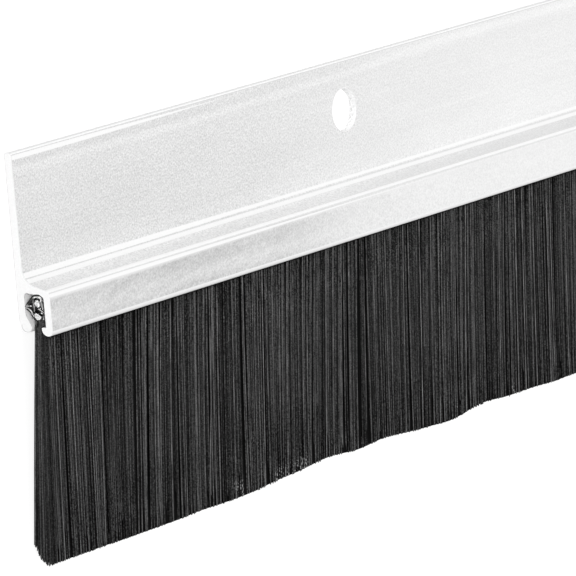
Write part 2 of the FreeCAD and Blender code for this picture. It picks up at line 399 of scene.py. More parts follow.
def fresh_metal(mix, tone, at, speckle, in_channel):
    """The satin's tone with painted light in the channel, and the holes and the sawn ends laid over it."""
    # Painted light lifts the shaded inside of the channel near the cut.
    tone = mix.between(tone, mix.scaled(speckle, 0.35, channel_painted_light_tone), in_channel)
    specks = mix.between(0.2, 1.4, mix.fade(at.out, 0.50 * MM, 0.85 * MM))
    # The hole wall is painted a little darker at its back rim and away from the flange's free edge, as shade.
    inner = mix.scaled(mix.fade(at.out, 0.03 * MM, 0.15 * MM), -0.03, hole_tone)
    inner = mix.scaled(mix.fade(at.across, 0.8 * MM, 2.2 * MM), -0.07, inner)
    in_hole = mix.fade(from_hole_edge(mix, at), 0.01 * MM, 0.03 * MM)
    tone = mix.between(tone, mix.scaled(speckle, specks, inner), in_hole)
    burr = mix.times(mix.fade(at.end, 0.14 * MM, 0.24 * MM), mix.fade(speckle, -0.05, 0.15))
    tone = mix.between(tone, burr_tone, burr)
    sawn = mix.fade(at.end, 0.02 * MM, 0.05 * MM)
    tone = mix.between(tone, mix.scaled(speckle, 0.10, sawn_tone), sawn)
    # The line along the back of the sawn end is painted shade.
    outline = mix.times(back_outline(mix, at), sawn, mix.maths("ADD", speckle, 0.8))
    return mix.maths("MINIMUM", mix.between(tone, outline_shade_tone, outline), 1.0)


print("fresh metal: channel", channel_painted_light_tone, "hole", hole_tone, "sawn end", sawn_tone)

# %% Satin aluminium
satin_metallic, satin_roughness, satin_gloss = 0.15, 0.62, 0.3


def satin_aluminium():
    mix = Mix("satin_aluminium_finish")
    at = mix.position()
    speckle = mix.noise(at.place, speckle_scale, roughness=0.65)
    below_roof, behind_wall = mix.fade(at.across, *channel_levels), mix.fade(at.out, *channel_depths)
    near_cut, before_back = mix.fade(at.end, 4.0 * MM, 9.0 * MM), mix.rise(at.out, 0.5 * MM, 0.7 * MM)
    in_channel = mix.times(below_roof, behind_wall, near_cut, before_back)
    tone = fresh_metal(mix, satin_faces(mix, at, speckle), at, speckle, in_channel)
    metallic = mix.scaled(in_channel, -satin_metallic, satin_metallic)
    roughness = mix.scaled(speckle, 0.3, satin_roughness)
    return mix.surface(tone, roughness, metallic, satin_gloss, bumps=(speckle, 0.00003, 0.3))


satin = satin_aluminium()
print(satin.name, "has", len(satin.node_tree.nodes), "nodes")

# %% [markdown]
# The steel finishes. The backing is galvanised sheet, and where it was sawn its edge has bright, torn
# spots. Its dark tone between them is painted shade, for the narrow gap inside the channel. The sawn
# wire is smeared: bright in the middle and dark round its rim. Spots of a tenth of a millimetre could
# be modelled, but noise with a smooth step and a little bump will do.

# %% Steel finishes
wire_centre = (wire_low + wire_high) / 2
wire_radius = (wire_high.z - wire_low.z) / 2
# The backing's dark tone is painted shade, and its pale tone is the torn metal.
shade_and_torn_tones, torn_steps = (0.06, 0.75), (-0.01, 0.11)
smear_tones, smear_reach, smear_rim = (0.10, 0.97), (0.22 * MM, 0.42 * MM), 1.2 * MM


def torn_steel():
    mix = Mix("galvanised_steel_finish")
    patches = mix.noise(mix.position().place, 3400.0, roughness=0.6)
    tone = mix.between(*shade_and_torn_tones, mix.rise(patches, *torn_steps))
    return mix.surface(tone, mix.scaled(patches, 0.3, 0.4), metallic=1.0, bumps=(patches, 0.00005, 0.6))


def smeared_wire():
    mix = Mix("smeared_wire_finish")
    at = mix.position()
    smear = mix.noise(at.place, 2600.0)
    away = mix.scaled(smear, smear_rim, distance_in_section(mix, at, (wire_centre.y, wire_centre.z)))
    tone = mix.between(*smear_tones, mix.fade(away, *smear_reach))
    return mix.surface(tone, mix.scaled(smear, 0.3, 0.35), metallic=1.0)


print("core wire of", round(2 * wire_radius / MM, 2), "mm at", tuple(round(v, 5) for v in wire_centre.yz))

# %% [markdown]
# Black nylon. A filament is nearly black, and the trimmer leaves a few dusty patches near the tips.
# A hair shader could draw this, but the strands are meshes, not hair curves. So each strand brings its
# own shade in an attribute, and noise adds painted highlights that glint along it, speckle and flecks.
# Less light gets in near the lip and the tips, yet the real brush looks as pale there, so painted light
# raises the shade there, and a painted shadow darkens the strands right under the lip.

# %% Marks on the nylon
# The glint change is for painted highlights along the strands.
glint_change, darkest_shade, fleck_shade = 2.4, 0.05, 9.0
# One dusty patch stands this far from each end, and the noise makes a few more
patch_from_end, patch_rim, patch_sure = 58.2 * MM, (3.4 * MM, 5.2 * MM), 0.32
# How much paler the strands are painted near the lip and near the tips, as light, and how dark the
# painted shadow right under the lip is
middle_level, paler_at_lip, paler_at_tips, shadow_under_lip = 0.96, 0.42, 0.32, 0.15


def dusty_flecks(mix, at):
    """How many shades paler the flecks are, and 0 away from the dusty patches."""
    patches = mix.noise(at.place, (150.0, 80.0, 60.0), detail=1.0)
    away = mix.maths("ABSOLUTE", mix.minus(at.end, patch_from_end))
    patches = mix.scaled(mix.fade(away, *patch_rim), patch_sure, patches)
    dust = mix.times(mix.rise(patches, 0.08, 0.15), mix.fade(at.across, -48.7 * MM, -46.6 * MM))
    flecks = mix.noise(at.place, (2600.0, 3000.0, 2600.0), detail=1.0)
    return mix.times(dust, mix.times(mix.rise(flecks, 0.02, 0.10), fleck_shade))


def level_down_the_brush(mix, at, cut_end):
    """What the shade is multiplied by: painted light near the lip and the tips, painted shadow right under
    the lip.
    """
    level = mix.scaled(mix.rise(at.across, -28.0 * MM, -20.0 * MM), paler_at_lip, middle_level)
    level = mix.scaled(mix.fade(at.across, -48.8 * MM, -42.5 * MM), paler_at_tips, level)
    clear = mix.maths("MAXIMUM", mix.fade(at.across, -18.85 * MM, -18.45 * MM), cut_end)
    return mix.times(level, mix.scaled(clear, 1.0 - shadow_under_lip, shadow_under_lip))


print("a dusty patch", round(patch_from_end / MM, 1), "mm from each end")


# %% Black nylon
def black_nylon(name, base, gain, gloss):
    """base is the tone of shade 0, gain is what each shade adds, and gloss is the strength of the shine."""
    mix = Mix(name)
    at = mix.position()
    speckle = mix.noise(at.place, (3600.0, 4600.0, 3600.0), detail=1.0)
    # Painted highlights along the strands
    glints = mix.noise(at.place, (2600.0, 150.0, 2600.0), detail=1.0)
    cut_end = mix.fade(at.end, 0.6 * MM, 2.4 * MM)
    shade = mix.times(mix.own_shade(), mix.scaled(glints, glint_change, 1.0))
    shade = mix.maths("ADD", dusty_flecks(mix, at), shade)
    shade = mix.scaled(speckle, mix.between(8.0, 5.5, cut_end), shade)
    shade = mix.maths("MAXIMUM", shade, darkest_shade)
    shade = mix.times(shade, level_down_the_brush(mix, at, cut_end))
    tone = mix.scaled(shade, gain, base, clamp=True)
    return mix.surface(tone, mix.scaled(speckle, 0.4, 0.5), gloss=gloss)


strand_finish = black_nylon("black_nylon_finish", 0.002, 0.024, 0.15)
# The core's finish is a darker copy of the nylon without shine: painted shade for strands deep in the pack.
core_shade_finish = black_nylon("shaded_nylon_finish", 0.003, 0.0, 0.02)
print(strand_finish.name, "has", len(strand_finish.node_tree.nodes), "nodes")

# %% [markdown]
# Dressing the solid pieces. Their meshes could be copied and edited, but they are right as they are.
# So only the material in each slot is changed.


# %% Dress the solid pieces
def dress(node, material):
    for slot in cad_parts[node].material_slots:
        slot.material = material
    print(node, "wears", material.name)


dress("holder", satin)
dress("backing_strip", torn_steel())
dress("core_wire", smeared_wire())

# %% [markdown]
# The bristles. They are tens of thousands of thin nylon hairs. Hair curves would draw them quickly,
# but the export needs meshes, and an operator call for each would take minutes. So one strand is
# modelled with a circle and extrusions, and copied with arrays. Only the rows at the front and back
# are seen along their whole length. The rows inside need it only near the ends of the strip, and are
# elsewhere short stubs that fill the trimmed tips, above a plain dark core.

# %% Sizes of the brush
tip_line = -49.85 * MM
jaw_top = -15.5 * MM
bulge_level = -16.6 * MM
strand_top = -16.95 * MM
mouth_level = -17.6 * MM
# The back and the front of the brush at the jaws, the bulge, the mouth and the tips
jaw_depths = (2.72 * MM, 3.98 * MM)
bulge_depths = (2.62 * MM, 4.28 * MM)
mouth_depths = (2.52 * MM, 3.55 * MM)
tip_depths = (0.60 * MM, 3.05 * MM)
strand_radius = 0.088 * MM
print("free length", round((holder_low.y - tip_line) / MM, 2), "mm, in a solid from Y", round(brush_low.y, 5))

# %% [markdown]
# The trim along the tips. They are cut by hand on the strip, straight near the ends and a little wavy
# elsewhere. A random line would wave too evenly, but a sum of four cosines can follow the real one.

# %% The trim along the tips
trim_straight_end = 44.0 * MM
trim_fade = 14.0 * MM
trim_mean_dip = 0.65 * MM
# Height, length and the place of a crest of each wave in mm
trim_waves = ((0.16, 121.0, 63.0), (0.28, 42.0, 33.0), (0.18, 23.0, 17.5), (0.10, 13.8, 13.2))
# Strands behind the front are cut shorter, and more steeply so behind this depth
slant_change_depth, front_slant, back_slant = 1.3 * MM, 0.75, 1.75


def eased(part):
    """A smooth step from 0 to 1."""
    return part * part * (3 - 2 * part)


def trim_dip(x):
    """How far the tips stand above the tip line."""
    distance = np.maximum(half_length - np.abs(x), 0.0)
    dip = np.full_like(x, trim_mean_dip)
    for height, length, crest in trim_waves:
        dip += height * MM * np.cos(2 * math.pi * (distance - crest * MM) / (length * MM))
    return dip * eased(np.clip((distance - trim_straight_end) / trim_fade, 0.0, 1.0))


dips = trim_dip(np.linspace(-half_length, half_length, 1001))
print("the trim rises up to", round(dips.max() / MM, 2), "mm above the tip line")

# %% [markdown]
# One strand. A tube of four sides is enough for a hair of 0.18 mm, as smooth shading rounds it. It has
# one step for a stub, three for a strand, and five at the cut end, which shows its bend in the jaws.
# Thousands of meshes would be slow, so only its pattern is kept: the ring, the steps and the faces.

# %% One strand, as arrays
strand_sides = 4


def made_vertices(grown):
    """The vertices that an extrusion made."""
    return [g for g in grown["geom"] if isinstance(g, bmesh.types.BMVert)]


def strand_pattern(steps):
    """The ring offsets, the step numbers and the faces of one strand, made by a circle and extrusions."""
    shape = bmesh.new()
    bmesh.ops.create_circle(shape, cap_ends=True, radius=1.0, segments=strand_sides)
    ends = shape.faces[:]
    for step in range(1, steps + 1):
        grown = bmesh.ops.extrude_face_region(shape, geom=ends)
        ring = made_vertices(grown)
        if step > 1:
            bmesh.ops.delete(shape, geom=ends, context="FACES_ONLY")
        bmesh.ops.translate(shape, vec=(0.0, 0.0, 1.0), verts=ring)
        ends = [g for g in grown["geom"] if isinstance(g, bmesh.types.BMFace)]
    bmesh.ops.recalc_face_normals(shape, faces=shape.faces)
    shape.verts.index_update()
    pattern = {
        "offsets": np.array([(v.co.x, v.co.y) for v in shape.verts]),
        "steps": np.array([round(v.co.z) for v in shape.verts]),
        "faces": np.array([[v.index for v in f.verts] for f in shape.faces]),
        "caps": np.array([abs(f.normal.z) > 0.5 for f in shape.faces]),
    }
    shape.free()
    return pattern


stub_steps, strand_steps, end_strand_steps = 1, 3, 5
patterns = {steps: strand_pattern(steps) for steps in (stub_steps, strand_steps, end_strand_steps)}
print("triangles in a strand, by steps:", {steps: 2 * len(p["faces"]) for steps, p in patterns.items()})

# %% [markdown]
# Locks. In a real brush the filaments are gathered in small bundles that lean a little apart or
# together, with dark gaps between them. Strands that each lean by chance would look like felt. So
# boundaries at random distances make locks, each with its own lean and depth, and some open as gaps.
# All draws are seeded, so every run gives the same brush.

# %% Locks
lock_width_mm, lock_width_spread, lock_widths_mm = 0.90, 0.5, (0.45, 3.2)
first_lock_before = 2 * MM
gaps_opened, gap_widths_mm, gap_share_of_lock = 0.75, (0.12, 0.36), 0.4
lock_lean, lock_depth, lock_shade, gaps_lit = 0.26, 0.06, 0.05, 0.45
noise_margin = 0.01


def smooth_noise(x, spacing, seed):
    """A smooth random line along the strip, between -1 and 1, with a new value at each spacing."""
    draw = np.random.default_rng(seed)
    count = int(2 * (half_length + noise_margin) / spacing) + 4
    values = draw.uniform(-1.0, 1.0, count)
    position = (x + half_length + noise_margin) / spacing
    cell = np.clip(np.floor(position).astype(int), 0, count - 2)
    part = eased(position - cell)
    return values[cell] * (1 - part) + values[cell + 1] * part


def lock_table(seed):
    draw = np.random.default_rng(seed)
    count = int(2 * half_length / (lock_width_mm * MM))
    widths = np.clip(draw.lognormal(math.log(lock_width_mm), lock_width_spread, count), *lock_widths_mm) * MM
    starts = -half_length - first_lock_before + np.concatenate(([0.0], np.cumsum(widths)))
    count = len(starts)
    opened = draw.uniform(0, 1, count) < gaps_opened
    widest = gap_share_of_lock * np.append(widths, widths[-1])
    return {
        "starts": starts,
        "gap": np.where(opened, np.minimum(draw.uniform(*gap_widths_mm, count) * MM, widest), 0.0),
        "lean": draw.normal(0.0, lock_lean, count) * MM,
        "depth": draw.normal(0.0, lock_depth, count) * MM,
        "shade": draw.normal(0.0, lock_shade, count),
        "lit": draw.uniform(0, 1, count) < gaps_lit,
    }


front_locks = lock_table(11)
back_locks = lock_table(12)
even_locks = lock_table(13)
even_locks["gap"][:] = 0.0
print("locks in the front:", len(front_locks["starts"]), "with", int((front_locks["gap"] > 0).sum()), "gaps")

# %% [markdown]
# The lean of the strands. From the mouth they fan outwards to both ends, most of all in the last few
# millimetres, where nothing holds them. Evenly spaced tips need uneven roots, and no formula gives
# the root of a tip. So a table of roots and tips is made once, and read the other way round.

# %% The lean of the strands
end_splay, end_splay_reach = 2.75 * MM, 3.0 * MM
general_lean, general_lean_reach = 3.6 * MM, 12.0 * MM


def lean_of(x):
    """How far along the strip a tip stands from its root."""
    from_end = half_length - np.abs(x)
    general = general_lean * np.sin(x / half_length * math.pi / 2)
    splay = np.sign(x) * end_splay * np.exp(-from_end / end_splay_reach)
    return general * (1 - np.exp(-from_end / general_lean_reach)) + splay


lean_roots = np.linspace(-half_length, half_length, 20001)
lean_tips = lean_roots + lean_of(lean_roots)


def root_of_tip(tip_x):
    """Where along the mouth the strand with this tip starts."""
    return np.interp(tip_x, lean_tips, lean_roots)


print("tips reach", round(lean_tips[-1] / MM, 2), "mm from the middle")

# %% [markdown]
# Rows of strands. A row has a share that says where it stands between the back, 0, and the front, 1.
# Round hairs side by side catch light by turns, so every second one is a little proud and painted
# paler, as a highlight. One shade for all would melt into flat black. The strand beside a gap is
# painted the palest, as a highlight, and its neighbour darker, as its shadow. Strands near the ends
# are painted darker, as shade, and stubs left in a gap are painted near black, as the shade in the
# gap. The spread of shades between strands is partly their own tone and partly painted highlight.

# %% What varies in a row
end_depth = 1.1 * MM
place_jitter, share_jitter, proud_share, gap_share = 0.3, 0.02, 0.015, 0.06
lit_until, shadow_until = 1.1, 2.1
# Shades are drawn on a log scale: the middle, the spread and the step between neighbours. The step,
# the lit shades and the shadow shade are painted light and shade, and the end shades and the gap
# stubs' shade are painted darker, as shade
shade_middle, shade_spread, shade_step = -0.36, 0.45, 1.10
end_shade_middle, end_shade_spread, end_shade_step = -0.85, 0.80, 0.7
lit_shades, shadow_shade, shade_range, gap_stub_shade = (1.9, 4.4), 0.45, (0.1, 5.0), 0.1
lock_rounding = 0.10 * MM
stray, crossing_stray, crossings, bow, raggedness = 0.07 * MM, 0.6 * MM, 0.035, 0.05 * MM, 0.015 * MM


def row_of_strands(share, spacing, locks, seed, gap_grow=0.0, stub=False, end_only=False):
    draw = np.random.default_rng(seed)
    count = int(2 * half_length / spacing)
    even = (np.arange(count) + 0.5 + draw.uniform(-place_jitter, place_jitter, count)) / count
    x = root_of_tip((2 * even - 1) * lean_tips[-1])
    starts = locks["starts"]
    lock = np.clip(np.searchsorted(starts, x) - 1, 0, len(starts) - 2)
    part = (x - starts[lock]) / (starts[lock + 1] - starts[lock])
    gap = np.where(locks["gap"][lock] > 0, locks["gap"][lock] + gap_grow, 0.0)
    past_gap = (x - starts[lock] - gap) / spacing
    near_end = np.abs(x) > half_length - end_depth
    in_gap = (past_gap < 0) & ~near_end
    lit = (past_gap >= 0) & (past_gap < lit_until) & (gap > 0) & locks["lit"][lock]
    in_shadow = (past_gap >= lit_until) & (past_gap < shadow_until) & (gap > 0)
    proud = np.where(np.arange(count) % 2 == 0, 1.0, -1.0)

    # The step between neighbours, the lit and shadow shades, and the darker end shades are painted light and
    # shade.
    shade = np.exp(locks["shade"][lock] + draw.normal(shade_middle, shade_spread, count) + shade_step * proud)
    shade = np.where(in_shadow, shadow_shade * shade, shade)
    row_step = end_shade_step * (-1) ** seed  # pale and dark rows take turns
    end_shade = np.exp(draw.normal(end_shade_middle, end_shade_spread, count) + row_step)
    shade = np.where(near_end, end_shade, shade)
    shade = np.where(lit & (gap_grow == 0), draw.uniform(*lit_shades, count), shade)
    crossing = draw.uniform(0, 1, count) < crossings
    jitter = draw.uniform(-share_jitter, share_jitter, count)
    row = {
        "x": x,
        "share": share + jitter + proud_share * proud - np.where(in_gap, gap_share, 0.0),
        "lean": locks["lean"][lock],
        "depth": locks["depth"][lock] - lock_rounding * np.abs(2 * part - 1) ** 3,
        "shade": np.where(in_gap, gap_stub_shade, np.clip(shade, *shade_range)),
        "spin": draw.uniform(0.0, 2 * math.pi, count),
        "stray": draw.normal(0.0, stray, count) + crossing * draw.normal(0.0, crossing_stray, count),
        "bow": draw.normal(0.0, bow, count),
        "ragged": np.abs(draw.normal(0.0, raggedness, count)),
        "steps": np.where(near_end, end_strand_steps, np.where(in_gap | stub, stub_steps, strand_steps)),
    }
    if end_only:
        row = {key: value[near_end] for key, value in row.items()}
    return row


print("strands within", round(end_depth / MM, 1), "mm of an end have full length in every row")

# %% Rows of strands
outer_spacing, second_spacing, second_gap_grow = 0.31 * MM, 0.26 * MM, 0.04 * MM
stub_spacing, end_spacing = 0.22 * MM, 0.20 * MM
row_plan = [
    dict(share=1.0, spacing=outer_spacing, locks=front_locks, seed=101),
    dict(share=0.90, spacing=second_spacing, locks=front_locks, seed=102, gap_grow=second_gap_grow),
    dict(share=0.0, spacing=outer_spacing, locks=back_locks, seed=103),
    dict(share=0.10, spacing=second_spacing, locks=back_locks, seed=104, gap_grow=second_gap_grow),
]
for seed, share in enumerate((0.27, 0.42, 0.58, 0.73), start=105):
    row_plan.append(dict(share=share, spacing=stub_spacing, locks=even_locks, seed=seed, stub=True))
for share in (0.06, 0.19, 0.35, 0.50, 0.66, 0.80, 0.94):
    seed = 200 + round(100 * share)
    row_plan.append(dict(share=share, spacing=end_spacing, locks=even_locks, seed=seed, end_only=True))
rows = [row_of_strands(**plan) for plan in row_plan]
strands = {key: np.concatenate([row[key] for row in rows]) for key in rows[0]}
print("strands:", len(strands["x"]))

# %% [markdown]
# Strand paths. From the jaws or the mouth each strand runs to its tip on a slow curve. Hairs that push
# each other apart could be simulated, but not twice alike, so the curves are worked out.

# %% Strand paths
stub_length = 1.6 * MM
settle_reach = 7.0 * MM
# Height, spacing and seed of the slow waves that carry the tips sideways, and in and out
side_drifts = ((0.8 * MM, 12.0 * MM, 21), (0.18 * MM, 4.0 * MM, 23))
depth_drift = (0.10 * MM, 6.0 * MM, 22)
spread_curve = 0.85


def mixed(limits, share):
    """The value that stands by share between two limits, such as the back and the front of the brush."""
    return limits[0] + share * (limits[1] - limits[0])


def drift(x, height, spacing, seed):
    return height * smooth_noise(x, spacing, seed)


def strand_tips(s):
    """X, Y and Z of the tips. Drift, lean and stray settle to nothing at the very ends."""
    settle = 1.0 - np.exp((np.abs(s["x"]) - half_length) / settle_reach)
    aside = sum(drift(s["x"], *wave) for wave in side_drifts) + s["lean"] + s["stray"]
    tip_x = s["x"] + lean_of(s["x"]) + aside * settle
    wave = drift(s["x"], *depth_drift) * settle
    tip_z = mixed(tip_depths, s["share"]) + (wave + s["depth"]) * settle
    behind = np.maximum(tip_depths[1] - tip_z, 0.0)
    slant = np.minimum(behind, slant_change_depth) * front_slant
    slant = slant + np.maximum(behind - slant_change_depth, 0.0) * back_slant
    return tip_x, tip_line + trim_dip(tip_x) + slant + s["ragged"], tip_z


def below_mouth(y):
    """How far down the free part of the bristles a height is, from 0 at the mouth to 1 at the tips."""
    return np.clip((mouth_level - y) / (mouth_level - tip_line), 0.0, 1.0)


def strand_points(s, steps):
    """The points of the strands that have this many steps, from the top to the tip."""
    tip_x, tip_y, tip_z = strand_tips(s)
    mouth_z = mixed(mouth_depths, s["share"]) + 0.4 * s["depth"]
    places = np.zeros((len(s["x"]), steps + 1, 3))
    for index in range(steps + 1):
        if steps == stub_steps:
            y = tip_y + stub_length * (1 - index)
        else:
            down = max((index - steps + strand_steps) / strand_steps, 0.0)
            y = strand_top + (tip_y - strand_top) * down
        share = below_mouth(y)
        bowed = s["bow"] * np.sin(share * math.pi)
        places[:, index, 0] = s["x"] + (tip_x - s["x"]) * share ** spread_curve + bowed
        places[:, index, 1] = y
        places[:, index, 2] = mouth_z + (tip_z - mouth_z) * share + 0.5 * bowed
    if steps == end_strand_steps:
        places[:, 0, 1], places[:, 0, 2] = jaw_top, mixed(jaw_depths, s["share"])
        places[:, 1, 1], places[:, 1, 2] = bulge_level, mixed(bulge_depths, s["share"])
    return places


lowest = strand_tips(strands)[1].min()
print("lowest tip at", round(lowest / MM, 3), "mm, tip line at", round(tip_line / MM, 3), "mm")

# %% [markdown]
# The strand meshes. One mesh would be too large for its file, and one object for each strand would be
# thousands. So the strip is divided into six stretches, and the strands of each are joined.

# %% Build the strand meshes
stretches = 6


def swept_arrays(places, shade, spin, pattern, radius):
    """Corner points, corner shades, quads and smooth flags of many strands that share one pattern."""
    corners = len(pattern["offsets"])
    side, out = pattern["offsets"][None, :, 0], pattern["offsets"][None, :, 1]
    cosine, sine = np.cos(spin[:, None]), np.sin(spin[:, None])
    points = places[:, pattern["steps"], :].copy()
    points[:, :, 0] += (side * cosine - out * sine) * radius
    points[:, :, 2] += (side * sine + out * cosine) * radius
    quads = pattern["faces"][None, :, :] + (np.arange(len(places)) * corners)[:, None, None]
    smooth = np.tile(~pattern["caps"], len(places))
    return points.reshape(-1, 3), np.repeat(shade, corners), quads.reshape(-1, 4), smooth


def mesh_from_arrays(name, groups, finish):
    """One mesh from several groups of corner points, shades, quads and smooth flags."""
    starts = np.cumsum([0] + [len(group[0]) for group in groups])
    groups = [(group[0], group[1], group[2] + start, group[3]) for group, start in zip(groups, starts)]
    points, shade, quads, smooth = (np.concatenate(arrays) for arrays in zip(*groups))
    mesh = bpy.data.meshes.new(name)
    mesh.vertices.add(len(points))
    mesh.vertices.foreach_set("co", points.reshape(-1).astype(np.float32))
    mesh.loops.add(quads.size)
    mesh.loops.foreach_set("vertex_index", quads.reshape(-1).astype(np.int32))
    mesh.polygons.add(len(quads))
    mesh.polygons.foreach_set("loop_start", np.arange(0, quads.size, 4, dtype=np.int32))
    mesh.polygons.foreach_set("use_smooth", smooth)
    mesh.update(calc_edges=True)
    mesh.attributes.new("shade", "FLOAT", "POINT").data.foreach_set("value", shade.astype(np.float32))
    mesh.materials.append(finish)
    return mesh


def add_piece(name, mesh, slot, *replaced):
    piece = bpy.data.objects.new(name, mesh)
    bpy.context.scene.collection.objects.link(piece)
    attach(piece, "root")
    if replaced:
        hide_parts(*replaced)


total = 0
for stretch in range(stretches):
    low = -half_length + stretch * 2 * half_length / stretches
    high = low + 2 * half_length / stretches
    groups = []
    for steps, pattern in patterns.items():
        chosen = (strands["x"] >= low) & (strands["x"] < high) & (strands["steps"] == steps)
        part = {key: value[chosen] for key, value in strands.items()}
        if chosen.any():
            places = strand_points(part, steps)
            groups.append(swept_arrays(places, part["shade"], part["spin"], pattern, strand_radius))
    name = "bristles_%d" % (stretch + 1)
    mesh = mesh_from_arrays(name, groups, strand_finish)
    add_piece(name, mesh, "black_bristle", "bristles")
    total += 2 * len(mesh.polygons)
    print(name, "has", 2 * len(mesh.polygons), "triangles")
print("all strands:", total, "triangles")

# %% [markdown]
# The core of the brush. Between the rows that show, the pack lets no light in. More full strands would
# cost four times the triangles for nothing, so a plain slab stands for them, in a near black finish
# without shine that is painted shade: a grid, thickened, with its points moved to the lean, the splay
# and the trim. Near the tips it widens to the outer rows.

# %% Brush core
core_columns, core_rows = 600, 6
core_short = 0.03 * MM
core_short_of_end = 1.0 * MM
core_inset, core_widening, widening_power = 0.20, 0.18, 8


def finished_mesh(name, shape, finish):
    """The bmesh as a mesh with its faces outwards and its finish on."""
    bmesh.ops.recalc_face_normals(shape, faces=shape.faces)
    mesh = bpy.data.meshes.new(name)
    shape.to_mesh(mesh)
    shape.free()
    mesh.materials.append(finish)
    print(name, "has", len(mesh.polygons), "faces")
    return mesh


def brush_core():
    shape = bmesh.new()
    bmesh.ops.create_grid(shape, x_segments=core_columns, y_segments=core_rows, size=0.5)
    grown = bmesh.ops.extrude_face_region(shape, geom=shape.faces[:])
    bmesh.ops.translate(shape, vec=(0.0, 0.0, 1.0), verts=made_vertices(grown))
    points = np.array([tuple(v.co) for v in shape.verts])
    along, down, front = points[:, 0] * 2, 0.5 - points[:, 1], points[:, 2]
    inset = core_inset - core_widening * down ** widening_power
    share = np.where(front > 0.5, 1.0 - inset, inset)
    x = root_of_tip(along * (lean_tips[-1] - core_short_of_end))
    plain_row = {key: np.zeros_like(x) for key in ("lean", "depth", "stray", "bow", "ragged")}
    tip_x, tip_y, tip_z = strand_tips(dict(plain_row, x=x, share=share))
    mouth_z = mixed(mouth_depths, share)
    y = strand_top + (tip_y + core_short - strand_top) * down
    below = below_mouth(y)
    placed_x = x + (tip_x - x) * below ** spread_curve
    placed = np.stack([placed_x, y, mouth_z + (tip_z - mouth_z) * below], axis=1)
    for vert, point in zip(shape.verts, placed):
        vert.co = Vector(point)
    return finished_mesh("brush_core", shape, core_shade_finish)


add_piece("brush_core", brush_core(), "black_bristle", "bristles")

# %% [markdown]
# The fold of the brush. Over the wire the strands are bent double and pressed into one dark mass.
# Bent strands could be modelled, but the sawn end shows a smear. So two rings, bridged and drawn
# along the strip, make it, pulled down to the jaws and a little short of the metal at both ends.

# %% Brush fold
fold_radius = 0.66 * MM
fold_drop = 1.2 * MM
fold_short = 0.3 * MM
fold_clearance = 0.02 * MM
fold_sides = 24


def brush_fold():
    shape = bmesh.new()
    bmesh.ops.create_circle(shape, cap_ends=False, radius=fold_radius, segments=fold_sides)
    outer = shape.edges[:]
    for vert in shape.verts:
        if vert.co.y < -0.1 * fold_radius:
            vert.co.y -= fold_drop
    bmesh.ops.create_circle(shape, cap_ends=False, radius=wire_radius + fold_clearance, segments=fold_sides)
    inner = [edge for edge in shape.edges if edge not in outer]
    ring = bmesh.ops.bridge_loops(shape, edges=outer + inner)["faces"]
    grown = bmesh.ops.extrude_face_region(shape, geom=ring)
    bmesh.ops.translate(shape, vec=(0.0, 0.0, 2 * (half_length - fold_short)), verts=made_vertices(grown))
    bmesh.ops.translate(shape, vec=(0.0, 0.0, fold_short - half_length), verts=shape.verts)
    upright = Matrix(((0, 0, 1), (0, 1, 0), (-1, 0, 0)))
    bmesh.ops.transform(shape, matrix=upright.to_4x4(), verts=shape.verts)
    bmesh.ops.translate(shape, vec=(0.0, wire_centre.y, wire_centre.z), verts=shape.verts)
    # The fold wears the core's finish of painted shade.
    return finished_mesh("brush_fold", shape, core_shade_finish)


add_piece("brush_fold", brush_fold(), "black_bristle", "bristles")

# %% [markdown]
# Swarf at the sawn ends. The saw dragged the steel into thin, bright flakes, and the dark flakes between
# them are painted shade, put where the seams lie in shadow. Bump could hint at them, but from the side
# they stand out of the cut. So each is a narrow grid, bent along a few places in the section, made
# ragged and given a thickness. The other end has the same flakes, shifted a little by chance.

